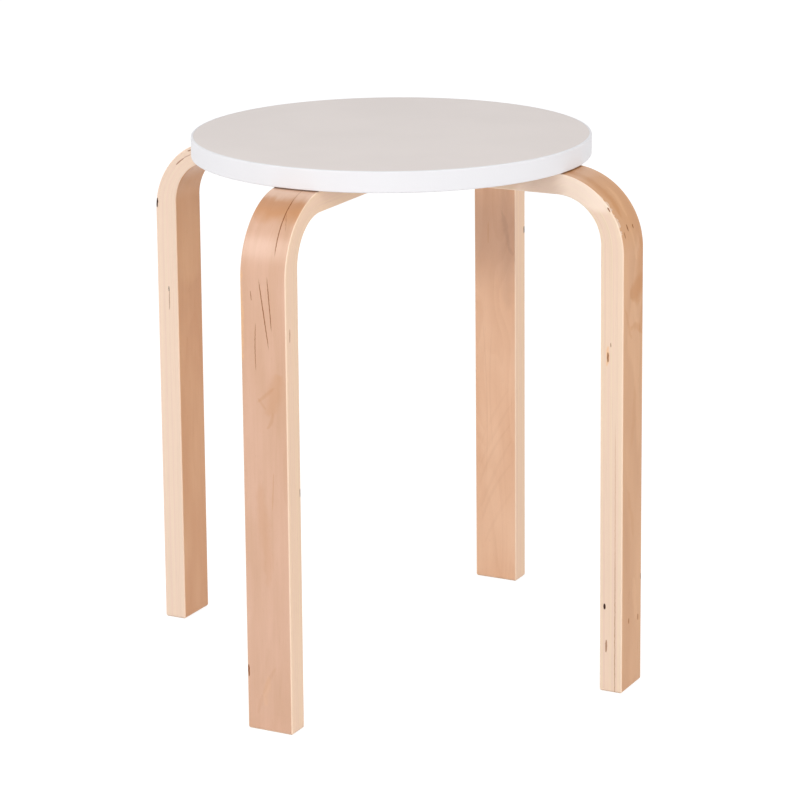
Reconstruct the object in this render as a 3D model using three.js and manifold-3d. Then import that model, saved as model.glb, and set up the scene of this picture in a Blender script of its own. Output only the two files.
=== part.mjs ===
// Stacking stool: a round faced-board seat on four bent legs of laminated wood.
// Each leg is an L: its short arm lies flat under the seat and is bolted up into the board.
// Millimetres, +Z up. The origin is on the floor, under the centre of the seat.

import * as THREE from "three";
import { mergeVertices } from "three/addons/utils/BufferGeometryUtils.js";
import Module from "manifold-3d";

const wasm = await Module();
wasm.setup();

// Driving dimensions of the whole stool
const stoolHeight = 450;
const legPlaces = ["front", "right", "back", "left"];
const boltsPerLeg = 3;

// Seat
const seatDiameter = 330;
const boardThickness = 16;
const laminateThickness = 0.6;
const edgeBandThickness = 2;
const seatEdgeRadius = 1.2;

// Leg: the overhang is how far its outer face stands beyond the seat's rim, measured under the seat,
// and the splay is how much further out that face is at the floor
const legWidth = 40.5;
const legThickness = 20;
const armThickness = 17.5;
const legOverhang = 52;
const legSplay = 3;
const bendOuterRadius = 63;
const bendInnerRadius = 38.5;
const legEdgeRadius = 1.3;
const footChamfer = 2.2;
const armEndReach = 42;
const armEndChamfer = 1.5;

// Bolts, washers and inserts
const boltDiameter = 6;
const boltHeadDiameter = 11.5;
const boltHeadHeight = 3.4;
const boltHeadRounding = 1;
const boltTipChamfer = 0.8;
const socketAcrossCorners = 4.6;
const socketDepth = 2.2;
const washerDiameter = 14;
const washerThickness = 1.2;
const boltSink = 1;
const insertWall = 2;
const insertChamfer = 0.6;
const boardOverInsert = 4;

// Clearances
const fitGap = 0.3;
const cutOverrun = 1;

// How finely the round shapes are divided
const seatSegments = 96;
const seatEdgeSegments = 3;
const boltSegments = 12;
const outerBendSegments = 16;
const innerBendSegments = 12;
const legEdgeSegments = 2;

// Where the bolts stand along an arm, as shares of its flat length from the inner end
const firstBoltShare = 0.16;
const lastBoltShare = 0.8;

// Sizes worked out from the ones above
const seatRadius = seatDiameter / 2;
const seatThickness = boardThickness + 2 * laminateThickness;
const seatUnderside = stoolHeight - seatThickness;
const boardRadius = seatRadius - edgeBandThickness - fitGap;
const legReach = seatRadius + legOverhang;
const armUnderside = seatUnderside - armThickness;
const boltRadius = boltDiameter / 2;
const boltHoleRadius = boltRadius + fitGap;
const insertRadius = boltHoleRadius + insertWall;
const insertHoleRadius = insertRadius + fitGap;
const insertHoleDepth = laminateThickness + boardThickness - boardOverInsert;
const insertLength = insertHoleDepth - fitGap;
const counterboreRadius = washerDiameter / 2 + fitGap;
const counterboreDepth = washerThickness + boltHeadHeight + boltSink;
const counterboreFloor = armUnderside + counterboreDepth;
const boltSeat = counterboreFloor - washerThickness;
const boltLength = seatUnderside + insertLength - boltSeat;

// Finishes
const boardFinish = new THREE.MeshStandardMaterial({ color: 0xb89a72, roughness: 0.85, metalness: 0 });
const laminateFinish = new THREE.MeshStandardMaterial({ color: 0xf0edeb, roughness: 0.4, metalness: 0 });
const bandFinish = new THREE.MeshStandardMaterial({ color: 0xf3f0f1, roughness: 0.35, metalness: 0 });
const woodFinish = new THREE.MeshStandardMaterial({ color: 0xdbaf8b, roughness: 0.45, metalness: 0 });
const boltFinish = new THREE.MeshStandardMaterial({ color: 0xb8bcc0, roughness: 0.35, metalness: 1 });
const washerFinish = new THREE.MeshStandardMaterial({ color: 0xc2c5c8, roughness: 0.3, metalness: 1 });
const insertFinish = new THREE.MeshStandardMaterial({ color: 0xc8b273, roughness: 0.4, metalness: 1 });

// A closed geometry as a solid that can be cut.
function toSolid(geometry) {
  const bare = geometry.clone();
  bare.deleteAttribute("normal");
  bare.deleteAttribute("uv");
  const merged = mergeVertices(bare);
  return new wasm.Manifold(
    new wasm.Mesh({
      numProp: 3,
      vertProperties: new Float32Array(merged.attributes.position.array),
      triVerts: new Uint32Array(merged.index.array),
    }),
  );
}

// A solid as a flat-shaded geometry.
function toGeometry(solid) {
  const made = solid.getMesh();
  const geometry = new THREE.BufferGeometry();
  geometry.setAttribute("position", new THREE.BufferAttribute(new Float32Array(made.vertProperties), 3));
  geometry.setIndex(new THREE.BufferAttribute(new Uint32Array(made.triVerts), 1));
  const flat = geometry.toNonIndexed();
  flat.computeVertexNormals();
  return flat;
}

// A base geometry with every one of the cutters taken out of it.
function cut(base, cutters) {
  let solid = toSolid(base);
  for (const cutter of cutters) {
    solid = solid.subtract(toSolid(cutter));
  }
  return toGeometry(solid);
}

// A turned shape about the Z axis. The profile is a list of [radius, height], from the bottom up.
function turned(profile, segments) {
  const points = profile.map(([radius, height]) => new THREE.Vector2(radius, height));
  const geometry = new THREE.LatheGeometry(points, segments);
  geometry.rotateX(Math.PI / 2);
  return geometry;
}

// A plain cylinder standing between two heights.
function rod(radius, low, high, segments) {
  const profile = [[0, low], [radius, low], [radius, high], [0, high]];
  return turned(profile, segments);
}

// A flat ring or sleeve between two heights, with its four corners in the profile.
function sleeve(innerRadius, outerRadius, low, high, segments) {
  const profile = [
    [innerRadius, low],
    [outerRadius, low],
    [outerRadius, high],
    [innerRadius, high],
    [innerRadius, low],
  ];
  return turned(profile, segments);
}

// Points of an arc of a profile, from one angle to another.
function arcPoints(centreX, centreY, radius, fromAngle, toAngle, segments) {
  const points = [];
  for (let i = 0; i <= segments; i += 1) {
    const angle = fromAngle + ((toAngle - fromAngle) * i) / segments;
    points.push([centreX + radius * Math.cos(angle), centreY + radius * Math.sin(angle)]);
  }
  return points;
}

function named(name, geometry, material) {
  const mesh = new THREE.Mesh(geometry, material);
  mesh.name = name;
  return mesh;
}

// Distances of an arm's bolts from the seat's centre line
function boltReaches() {
  const flatLength = legReach - bendOuterRadius - armEndReach;
  const reaches = [];
  for (let i = 0; i < boltsPerLeg; i += 1) {
    const share = firstBoltShare + ((lastBoltShare - firstBoltShare) * i) / (boltsPerLeg - 1);
    reaches.push(armEndReach + flatLength * share);
  }
  return reaches;
}

// Angle of a leg round the seat. The first leg points along -Y and the others follow anticlockwise.
function legAngle(index) {
  return -Math.PI / 2 + (2 * Math.PI * index) / legPlaces.length;
}

// Seat: every insert's hole, as a cutter in the frame of a piece whose own zero is the seat's underside
function insertHoles(zeroHeight) {
  const cutters = [];
  for (let leg = 0; leg < legPlaces.length; leg += 1) {
    const angle = legAngle(leg);
    for (const reach of boltReaches()) {
      const hole = rod(insertHoleRadius, -cutOverrun, insertHoleDepth, boltSegments);
      hole.translate(reach, 0, -zeroHeight).rotateZ(angle);
      cutters.push(hole);
    }
  }
  return cutters;
}

// Board with a blind hole for each insert
function seatCore() {
  const board = rod(boardRadius, 0, boardThickness, seatSegments);
  return cut(board, insertHoles(laminateThickness));
}

// Laminate under the board, with the insert holes running through it
function seatUnderLaminate() {
  const sheet = rod(boardRadius, 0, laminateThickness, seatSegments);
  return cut(sheet, insertHoles(0));
}

// Band round the board and both laminates, its two outer corners rounded
function seatEdgeBand() {
  const innerRadius = seatRadius - edgeBandThickness;
  const arcX = seatRadius - seatEdgeRadius;
  const lowArc = arcPoints(arcX, seatEdgeRadius, seatEdgeRadius, -Math.PI / 2, 0, seatEdgeSegments);
  const highArcY = seatThickness - seatEdgeRadius;
  const highArc = arcPoints(arcX, highArcY, seatEdgeRadius, 0, Math.PI / 2, seatEdgeSegments);
  const profile = [[innerRadius, 0], ...lowArc, ...highArc, [innerRadius, seatThickness], [innerRadius, 0]];
  return turned(profile, seatSegments);
}

function makeSeat() {
  const seat = new THREE.Group();
  seat.position.z = seatUnderside;
  const under = named("seat_under_laminate", seatUnderLaminate(), laminateFinish);
  const core = named("seat_core", seatCore(), boardFinish);
  core.position.z = laminateThickness;
  const topSheet = rod(boardRadius, 0, laminateThickness, seatSegments);
  const top = named("seat_top_laminate", topSheet, laminateFinish);
  top.position.z = laminateThickness + boardThickness;
  const band = named("seat_edge_band", seatEdgeBand(), bandFinish);
  seat.add(under, core, top, band);
  return seat;
}

// Side outline of a leg: X is the distance out from the centre line and Y is the height.
// The leg leans out by its splay, so each bend stops short of a quarter turn by that lean.
function legOutline() {
  const lean = Math.atan2(legSplay, stoolHeight);
  const slope = legSplay / stoolHeight;
  const outerAt = (height) => legReach + slope * (seatUnderside - height);

  // An arc that is tangent to a level line above it and to the leaning face outside it
  const bend = (levelHeight, faceAtLevel, radius, segments) => {
    const centreY = levelHeight - radius;
    const centreX = faceAtLevel + slope * radius - radius / Math.cos(lean);
    return arcPoints(centreX, centreY, radius, lean, Math.PI / 2, segments);
  };
  const outerBend = bend(seatUnderside, outerAt(seatUnderside), bendOuterRadius, outerBendSegments);
  const innerFace = outerAt(armUnderside) - legThickness;
  const innerBend = bend(armUnderside, innerFace, bendInnerRadius, innerBendSegments).reverse();

  const points = [
    [outerAt(0) - legThickness + footChamfer, 0],
    [outerAt(0) - footChamfer, 0],
    [outerAt(footChamfer), footChamfer],
    ...outerBend,
    [armEndReach + armEndChamfer, seatUnderside],
    [armEndReach, seatUnderside - armEndChamfer],
    [armEndReach, armUnderside + armEndChamfer],
    [armEndReach + armEndChamfer, armUnderside],
    ...innerBend,
    [outerAt(footChamfer) - legThickness, footChamfer],
  ];
  return new THREE.Shape(points.map(([x, y]) => new THREE.Vector2(x, y)));
}

// Bent leg pointing along +X, with a hole and a counterbore for each bolt
function bentLeg() {
  const blank = new THREE.ExtrudeGeometry(legOutline(), {
    depth: legWidth - 2 * legEdgeRadius,
    steps: 1,
    bevelEnabled: true,
    bevelThickness: legEdgeRadius,
    bevelSize: legEdgeRadius,
    bevelOffset: -legEdgeRadius,
    bevelSegments: legEdgeSegments,
  });
  blank.translate(0, 0, legEdgeRadius - legWidth / 2);
  blank.rotateX(Math.PI / 2);
  const cutters = boltReaches().map((reach) => {
    const profile = [
      [0, armUnderside - cutOverrun],
      [counterboreRadius, armUnderside - cutOverrun],
      [counterboreRadius, counterboreFloor],
      [boltHoleRadius, counterboreFloor],
      [boltHoleRadius, seatUnderside + cutOverrun],
      [0, seatUnderside + cutOverrun],
    ];
    return turned(profile, boltSegments).translate(reach, 0, 0);
  });
  return cut(blank, cutters);
}

// Bolt standing head down, its zero at the underside of the washer, with a hexagon socket in the head
function bolt() {
  const headRadius = boltHeadDiameter / 2;
  const profile = [
    [0, -boltHeadHeight],
    [headRadius - boltHeadRounding, -boltHeadHeight],
    [headRadius, boltHeadRounding - boltHeadHeight],
    [headRadius, 0],
    [boltRadius, 0],
    [boltRadius, boltLength - boltTipChamfer],
    [boltRadius - boltTipChamfer, boltLength],
    [0, boltLength],
  ];
  const hexagonSides = 6;
  const socketTop = socketDepth - boltHeadHeight;
  const socket = rod(socketAcrossCorners / 2, -boltHeadHeight - cutOverrun, socketTop, hexagonSides);
  return cut(turned(profile, boltSegments), [socket]);
}

function washer() {
  return sleeve(boltHoleRadius, washerDiameter / 2, 0, washerThickness, boltSegments);
}

// Threaded insert standing on the seat's underside, chamfered at both ends
function insert() {
  const profile = [
    [boltHoleRadius, 0],
    [insertRadius - insertChamfer, 0],
    [insertRadius, insertChamfer],
    [insertRadius, insertLength - insertChamfer],
    [insertRadius - insertChamfer, insertLength],
    [boltHoleRadius, insertLength],
    [boltHoleRadius, 0],
  ];
  return turned(profile, boltSegments);
}

// One leg with its bolts, washers and inserts, turned to its place round the seat
function makeLeg(place, index) {
  const assembly = new THREE.Group();
  assembly.rotation.z = legAngle(index);
  assembly.add(named(`leg_${place}`, bentLeg(), woodFinish));
  boltReaches().forEach((reach, i) => {
    const number = i + 1;
    const boltMesh = named(`bolt_${place}_${number}`, bolt(), boltFinish);
    boltMesh.position.set(reach, 0, boltSeat);
    const washerMesh = named(`washer_${place}_${number}`, washer(), washerFinish);
    washerMesh.position.set(reach, 0, boltSeat);
    const insertMesh = named(`insert_${place}_${number}`, insert(), insertFinish);
    insertMesh.position.set(reach, 0, seatUnderside);
    assembly.add(boltMesh, washerMesh, insertMesh);
  });
  return assembly;
}

const stool = new THREE.Group();
stool.add(makeSeat());
legPlaces.forEach((place, index) => stool.add(makeLeg(place, index)));

export default stool;
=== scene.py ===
"""Stacking stool: a round white seat on four bent legs of laminated wood, finished for rendering.

Lengths are in metres, +Z is up, and the floor is at height zero under the centre of the seat.
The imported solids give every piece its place. The classes below build the fine surface of each
piece from numpy grids and dress it in its own material.
"""

import logging
import math
from collections.abc import Sequence
from dataclasses import dataclass
from enum import Enum
from typing import Any

import bmesh
import bpy
import numpy as np
from mathutils import Matrix, Vector

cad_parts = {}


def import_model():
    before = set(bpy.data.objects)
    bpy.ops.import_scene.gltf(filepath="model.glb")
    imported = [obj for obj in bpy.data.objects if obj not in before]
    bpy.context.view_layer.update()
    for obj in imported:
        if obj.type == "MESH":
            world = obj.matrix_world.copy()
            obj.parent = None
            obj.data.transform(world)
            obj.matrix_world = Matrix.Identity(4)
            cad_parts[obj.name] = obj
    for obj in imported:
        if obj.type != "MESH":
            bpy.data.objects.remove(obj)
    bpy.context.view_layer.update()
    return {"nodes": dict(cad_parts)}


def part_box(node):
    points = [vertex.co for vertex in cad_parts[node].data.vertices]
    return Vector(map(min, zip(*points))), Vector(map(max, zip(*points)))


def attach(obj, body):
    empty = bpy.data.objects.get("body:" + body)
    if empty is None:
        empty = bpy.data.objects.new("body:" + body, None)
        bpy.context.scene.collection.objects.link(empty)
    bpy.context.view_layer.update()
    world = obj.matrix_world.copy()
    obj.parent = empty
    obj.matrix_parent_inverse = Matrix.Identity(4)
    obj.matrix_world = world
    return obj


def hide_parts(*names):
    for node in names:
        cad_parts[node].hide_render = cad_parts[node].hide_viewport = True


MM = 0.001
ROOT_BODY = "root"
UNBENT = "unbent"
FROM_END = "from_end"
FASTENER_NUMBERS = (1, 2, 3)
LOG = logging.getLogger("stool")

Array = np.ndarray
Pair = tuple[float, float]
Triple = tuple[float, float, float]
Colour = tuple[float, float, float]
Ring = tuple[Array, float]
Mesh = bpy.types.Mesh
Piece = bpy.types.Object
Material = bpy.types.Material
Socket = bpy.types.NodeSocket
Value = Socket | float | Sequence[float]


def tone(red: float, green: float, blue: float) -> Colour:
    """Turns a display colour into linear light.

    Args:
        red, green, blue: the display colour, each from 0 to 255.

    Returns:
        The same colour in linear light, each part from 0 to 1.
    """
    full, toe, toe_slope, lift, power = 255.0, 0.04045, 12.92, 0.055, 2.4
    shares = (part / full for part in (red, green, blue))
    linear = [s / toe_slope if s <= toe else ((s + lift) / (1 + lift)) ** power for s in shares]
    return linear[0], linear[1], linear[2]


def direction(azimuth: float, elevation: float) -> Vector:
    """Finds the unit vector at an azimuth, which turns from -Y towards +X, and an elevation, in radians."""
    level = math.cos(elevation)
    return Vector((math.sin(azimuth) * level, -math.cos(azimuth) * level, math.sin(elevation)))


class LegPlace(Enum):
    """Where a leg stands round the seat, with its angle from +X in degrees."""

    FRONT = ("front", -90.0)
    RIGHT = ("right", 0.0)
    BACK = ("back", 90.0)
    LEFT = ("left", 180.0)

    @property
    def word(self) -> str:
        """The place as it stands in the pieces' names."""
        return self.value[0]

    @property
    def outward(self) -> Array:
        """Unit vector from the seat's centre towards the leg."""
        angle = math.radians(self.value[1])
        return np.array([math.cos(angle), math.sin(angle), 0.0])

    @property
    def sideways(self) -> Array:
        """Unit vector across the leg, to the right for someone who faces it from outside the stool."""
        angle = math.radians(self.value[1])
        return np.array([-math.sin(angle), math.cos(angle), 0.0])


class LegFace(Enum):
    """The long faces of a leg, as someone who faces it from outside the stool names them."""

    OUTER = "outer"
    INNER = "inner"
    RIGHT_SIDE = "right side"
    LEFT_SIDE = "left side"

    @property
    def wide(self) -> bool:
        """Whether the face is one of the two that carry face veneer."""
        return self in (LegFace.OUTER, LegFace.INNER)


class MarkKind(Enum):
    """Marks laid on the veneer, each with its tint: natural marks, and also painted shade and painted light.
    """

    CRACK = tone(134, 74, 16)
    FLECK = tone(52, 18, 0)
    FIGURE = tone(198, 142, 100)
    STAIN = tone(192, 118, 16)
    # Painted shade: a grey-brown that darkens wood lying in the seat's shade.
    SHADE = tone(158, 116, 96)
    GOLD = tone(240, 190, 138)
    # Painted light: a pale tint that lightens shaded wood near the seat.
    PALE = tone(255, 234, 216)

    @property
    def broad(self) -> bool:
        """Whether the mark is a soft patch, whose outline wanders widely."""
        return self in (MarkKind.STAIN, MarkKind.SHADE, MarkKind.GOLD, MarkKind.PALE)

    @property
    def cuts(self) -> bool:
        """Whether the mark cuts into the wood."""
        return self in (MarkKind.CRACK, MarkKind.FLECK)


# Meshes


def ring_faces(rows: int, columns: int, looped: bool) -> Array:
    """Lists the quads of a grid whose columns run round and close on themselves.

    The quad of row i and column j joins that point to its neighbours in the next column and the
    next row. The last column is joined to the first one, and so is the last row where it is looped.

    Args:
        rows: how many rings of points there are.
        columns: how many points each ring has.
        looped: whether the last ring is joined to the first.

    Returns:
        An array of four point numbers a quad.
    """
    row = np.arange(rows if looped else rows - 1)[:, None] * columns
    column = np.arange(columns)[None, :]
    next_row = (row + columns) % (rows * columns)
    next_column = (column + 1) % columns
    quad = (row + column, row + next_column, next_row + next_column, next_row + column)
    return np.stack(np.broadcast_arrays(*quad), axis=-1).reshape(-1, 4)


def solid_mesh(name: str, points: Array, faces: list[list[int]]) -> Mesh:
    """Makes a closed mesh with its doubles merged, its faces outwards and smooth shading.

    Args:
        name: the mesh's name.
        points: an array of three coordinates a point.
        faces: the point numbers of each face.

    Returns:
        The mesh.
    """
    merge_distance = 1e-7
    mesh = bpy.data.meshes.new(name)
    mesh.from_pydata(points.reshape(-1, 3).tolist(), [], faces)
    shape = bmesh.new()
    shape.from_mesh(mesh)
    bmesh.ops.remove_doubles(shape, verts=shape.verts[:], dist=merge_distance)
    bmesh.ops.recalc_face_normals(shape, faces=shape.faces[:])
    shape.to_mesh(mesh)
    shape.free()
    mesh.shade_smooth()
    return mesh


def turned_mesh(
    name: str, radius: Array, height: Array, centre: Sequence[float] = (0.0, 0.0), looped: bool = False
) -> Mesh:
    """Makes a surface turned about an upright line.

    The point of row i and column j stands radius[i, j] from the line, at the angle that is column
    j's share of a full turn, and at height[i]. Rows of no radius close to a point.

    Args:
        name: the mesh's name.
        radius: the radii, one row a ring and one column a direction.
        height: the height of each ring.
        centre: where the line that the surface is turned about stands.
        looped: whether the profile closes on itself, as a washer's does.

    Returns:
        The mesh.
    """
    rows, columns = radius.shape
    angle = np.arange(columns) * (2 * np.pi / columns)
    points = np.empty((rows, columns, 3))
    points[..., 0] = centre[0] + radius * np.cos(angle)
    points[..., 1] = centre[1] + radius * np.sin(angle)
    points[..., 2] = height[:, None]
    return solid_mesh(name, points, ring_faces(rows, columns, looped).tolist())


def round_profile(profile: Sequence[Pair], segments: int) -> tuple[Array, Array]:
    """Spreads a profile of radius and height pairs round a full turn.

    Args:
        profile: pairs of radius and height, along the profile.
        segments: how many directions a turn has.

    Returns:
        The radii, one row a pair, and the heights.
    """
    pairs = np.asarray(profile, float)
    return np.repeat(pairs[:, :1], segments, axis=1), pairs[:, 1]


def corner_arc(centre: Pair, radius: float, start: float, steps: int) -> list[Pair]:
    """Lists points of a quarter arc in a profile.

    Each point is the centre plus the radius times the cosine and the sine of its angle, and the
    angles run evenly over a right angle.

    Args:
        centre: the arc's centre, as radius and height.
        radius: the arc's own radius.
        start: its first angle, in degrees.
        steps: how many stretches it is divided into.

    Returns:
        Pairs of radius and height.
    """
    angle = np.radians(np.linspace(start, start + 90, steps + 1))
    return list(zip(centre[0] + radius * np.cos(angle), centre[1] + radius * np.sin(angle)))


def rounded_side(edge: float, low: float, high: float, ease: float, steps: int) -> list[Pair]:
    """Lists a profile's outer side from its lower corner to its upper one, both of them rounded.

    Args:
        edge: how far out the side lies.
        low, high: the heights of the two faces that it joins.
        ease: the corners' radius.
        steps: how many stretches a corner has.

    Returns:
        Pairs of radius and height.
    """
    lower = corner_arc((edge - ease, low + ease), ease, -90, steps)
    return lower + corner_arc((edge - ease, high - ease), ease, 0, steps)


def add_object(name: str, data: bpy.types.ID) -> Piece:
    """Puts a mesh, a lamp or a camera into the scene as an object at the origin."""
    made = bpy.data.objects.new(name, data)
    bpy.context.scene.collection.objects.link(made)
    return made


def settle_modifiers(piece: Piece) -> None:
    """Writes the result of a piece's modifiers into its mesh and takes the modifiers off.

    Args:
        piece: the object.
    """
    bpy.context.view_layer.update()
    graph = bpy.context.evaluated_depsgraph_get()
    final = bpy.data.meshes.new_from_object(piece.evaluated_get(graph))
    final.name = piece.data.name
    piece.modifiers.clear()
    piece.data = final


def drill(piece: Piece, cutters: Sequence[Mesh]) -> None:
    """Takes the cutters' solids out of a piece.

    Args:
        piece: the object to drill.
        cutters: closed meshes in the piece's own frame. They are removed afterwards.
    """
    joined = bmesh.new()
    for cutter in cutters:
        joined.from_mesh(cutter)
        bpy.data.meshes.remove(cutter)
    mesh = bpy.data.meshes.new("drill")
    joined.to_mesh(mesh)
    joined.free()
    tool = add_object("drill", mesh)
    cut = piece.modifiers.new("drill", "BOOLEAN")
    cut.operation = "DIFFERENCE"
    cut.solver = "EXACT"
    cut.object = tool
    settle_modifiers(piece)
    bpy.data.objects.remove(tool)
    bpy.data.meshes.remove(mesh)


def crisp_normals(piece: Piece, sharp_angle: float = 40.0) -> Piece:
    """Keeps a piece's wide faces flat in the shading and its steep edges sharp.

    Args:
        piece: the object.
        sharp_angle: the angle in degrees from which an edge counts as sharp.

    Returns:
        The same object.
    """
    piece.data.shade_smooth()
    piece.data.set_sharp_from_angle(angle=math.radians(sharp_angle))
    weighted = piece.modifiers.new("even_faces", "WEIGHTED_NORMAL")
    weighted.keep_sharp = True
    settle_modifiers(piece)
    return piece


def fit_out(piece: Piece, material: Material, nodes: Sequence[str]) -> None:
    """Dresses a new piece, seats it on the stool's one body and names the solids that it stands for.

    Args:
        piece: the object.
        material: its material.
        nodes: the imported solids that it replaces.
    """
    piece.data.materials.clear()
    piece.data.materials.append(material)
    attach(piece, ROOT_BODY)
    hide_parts(*nodes)
    LOG.info("%s: %d faces for %s", piece.name, len(piece.data.polygons), ", ".join(nodes))


# Shaders


@dataclass(frozen=True)
class Layer:
    """Soft random patches, a number about one half and mostly between 0.3 and 0.7.

    The scale is how many patches a metre holds along each direction, the detail how many finer layers
    lie on them, the shift what their seed is raised by, and the bend how much they are twisted.
    """

    scale: Triple
    detail: float = 2.0
    shift: float = 0.0
    bend: float = 0.0


def opaque(colour: Value) -> Value:
    """Adds full cover to a plain colour, and leaves another node's output as it is."""
    if isinstance(colour, Socket):
        return colour
    return *colour, 1.0


class Nodes:
    """Node tree that grows by short calls, each of which adds one node or a few."""

    def __init__(self, tree: bpy.types.NodeTree) -> None:
        """Takes a tree and empties it."""
        self.tree = tree
        tree.nodes.clear()

    def feed(self, socket: Socket, value: Value) -> None:
        """Links another node's output to a socket, or sets the socket to a value.

        Args:
            socket: the socket.
            value: another node's output or a value.
        """
        if isinstance(value, Socket):
            self.tree.links.new(value, socket)
        else:
            socket.default_value = value

    def add(self, kind: str, inputs: dict[str | int, Value], **settings: Any) -> bpy.types.Node:
        """Adds a node, sets it and feeds it.

        Args:
            kind: the node's type in Blender.
            inputs: what goes into its sockets, by name or number: another node's output or a value.
            **settings: the node's own properties.

        Returns:
            The node.
        """
        node = self.tree.nodes.new(kind)
        for key, setting in settings.items():
            setattr(node, key, setting)
        for key, value in inputs.items():
            self.feed(node.inputs[key], value)
        return node

    def math(self, operation: str, *values: Value, clamp: bool = False) -> Socket:
        """Adds a sum of one to three numbers and returns its result."""
        inputs = dict(enumerate(values))
        return self.add("ShaderNodeMath", inputs, operation=operation, use_clamp=clamp).outputs[0]

    def times(self, first: Value, second: Value) -> Socket:
        """Multiplies two numbers."""
        return self.math("MULTIPLY", first, second)

    def apart(self, first: Value, second: Value) -> Socket:
        """Finds how far apart two numbers are."""
        return self.math("ABSOLUTE", self.math("SUBTRACT", first, second))

    def split(self, vector: Socket) -> tuple[Socket, Socket, Socket]:
        """Takes a vector apart into its three numbers."""
        parts = self.add("ShaderNodeSeparateXYZ", {0: vector}).outputs
        return parts[0], parts[1], parts[2]

    def seen(self) -> Socket:
        """Adds the switch that is 1 for rays from the camera, from gloss and through glass, and else 0.

        Returns:
            The switch.
        """
        path = self.add("ShaderNodeLightPath", {}).outputs
        either = self.math("MAXIMUM", path["Is Camera Ray"], path["Is Glossy Ray"])
        return self.math("MAXIMUM", either, path["Is Transmission Ray"])


class Shader(Nodes):
    """Node tree of one new material."""

    def __init__(self, name: str) -> None:
        """Starts an empty node tree in a new material of that name."""
        self.material = bpy.data.materials.new(name)
        self.material.use_nodes = True
        super().__init__(self.material.node_tree)

    def vector(self, operation: str, *values: Value) -> Socket:
        """Adds a sum of vectors and returns its result, a number for a dot product and else a vector."""
        node = self.add("ShaderNodeVectorMath", dict(enumerate(values)), operation=operation)
        return node.outputs["Value" if operation == "DOT_PRODUCT" else "Vector"]

    def attribute(self, name: str, output: str) -> Socket:
        """Reads an attribute of the mesh, from the Vector or the Fac output."""
        return self.add("ShaderNodeAttribute", {}, attribute_name=name).outputs[output]

    def place(self) -> Socket:
        """Reads the point's place in the stool's frame."""
        return self.add("ShaderNodeTexCoord", {}).outputs["Object"]

    def join(self, *values: Value) -> Socket:
        """Makes a vector of up to three numbers."""
        return self.add("ShaderNodeCombineXYZ", dict(enumerate(values))).outputs[0]

    def noise(self, place: Socket, layer: Layer, seed: float = 0.0) -> Socket:
        """Lays random patches over a place in metres.

        Args:
            place: the place.
            layer: what the patches are like.
            seed: what makes one piece unlike another.

        Returns:
            The pattern.
        """
        spread = self.vector("MULTIPLY_ADD", place, layer.scale, (seed + layer.shift,) * 3)
        inputs = {"Vector": spread, "Scale": 1.0, "Detail": layer.detail, "Distortion": layer.bend}
        return self.add("ShaderNodeTexNoise", inputs).outputs[0]

    def chance(self, number: Socket) -> Socket:
        """Gives each whole number its own random share from 0 to 1."""
        return self.add("ShaderNodeTexWhiteNoise", {"W": number}, noise_dimensions="1D").outputs["Value"]

    def sway(self, pattern: Socket, share: Value, level: Value = 0.0) -> Socket:
        """Moves a level by a share of how far a pattern is from one half."""
        return self.math("MULTIPLY_ADD", self.math("SUBTRACT", pattern, 0.5), share, level)

    def uneven(self, pattern: Socket, level: float, spread: float) -> Socket:
        """Spreads a pattern from 0 to 1 evenly about a level."""
        return self.math("MULTIPLY_ADD", pattern, spread, level - spread / 2)

    def step(
        self, value: Value, low: Value, high: Value, to_low: float = 0.0, to_high: float = 1.0
    ) -> Socket:
        """Turns a number smoothly from to_low to to_high as it passes from low to high."""
        inputs = {"Value": value, "From Min": low, "From Max": high, "To Min": to_low, "To Max": to_high}
        return self.add("ShaderNodeMapRange", inputs, interpolation_type="SMOOTHSTEP").outputs[0]

    def mix(self, share: Value, first: Value, second: Value, blend: str = "MIX") -> Socket:
        """Mixes two colours.

        Args:
            share: 0 or less for the first colour, 1 or more for the second.
            first, second: the colours.
            blend: how the second one is laid over the first.

        Returns:
            The mixed colour.
        """
        colours = {0: share, 6: opaque(first), 7: opaque(second)}
        node = self.add("ShaderNodeMix", colours, data_type="RGBA", blend_type=blend, clamp_factor=True)
        return node.outputs[2]

    def bump(self, height: Socket, strength: float, distance: float) -> Socket:
        """Adds a relief of that height in metres and returns the bent normal."""
        inputs = {"Height": height, "Strength": strength, "Distance": distance}
        return self.add("ShaderNodeBump", inputs).outputs[0]

    def finish(self, **inputs: Value) -> Material:
        """Adds the surface and closes the tree.

        Args:
            **inputs: the surface's sockets, their names in lower case with an underscore for a space.

        Returns:
            The material.
        """
        surface = self.add("ShaderNodeBsdfPrincipled", {})
        sockets = {socket.name.lower().replace(" ", "_"): socket for socket in surface.inputs}
        for key, value in inputs.items():
            self.feed(sockets[key], value)
        self.add("ShaderNodeOutputMaterial", {"Surface": surface.outputs[0]})
        return self.material


# Finishes


@dataclass(frozen=True)
class CloudedFinish:
    """Two near tints in soft clouds, under a fine even grain in the relief and the roughness."""

    colour: Colour
    shade: Colour
    cloud: Layer
    grain: Layer
    roughness: float
    roughness_spread: float
    relief: float
    relief_strength: float
    specular: float
    metallic: float
    cloud_range: Pair = (0.35, 0.65)

    def material(self, name: str) -> Material:
        """Makes the material.

        Args:
            name: the material's name.

        Returns:
            The material.
        """
        shader = Shader(name)
        place = shader.place()
        share = shader.step(shader.noise(place, self.cloud), *self.cloud_range)
        grain = shader.noise(place, self.grain)
        return shader.finish(
            base_color=shader.mix(share, self.colour, self.shade),
            roughness=shader.uneven(grain, self.roughness, self.roughness_spread),
            normal=shader.bump(grain, self.relief_strength, self.relief),
            specular_ior_level=self.specular,
            metallic=self.metallic,
        )


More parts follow.
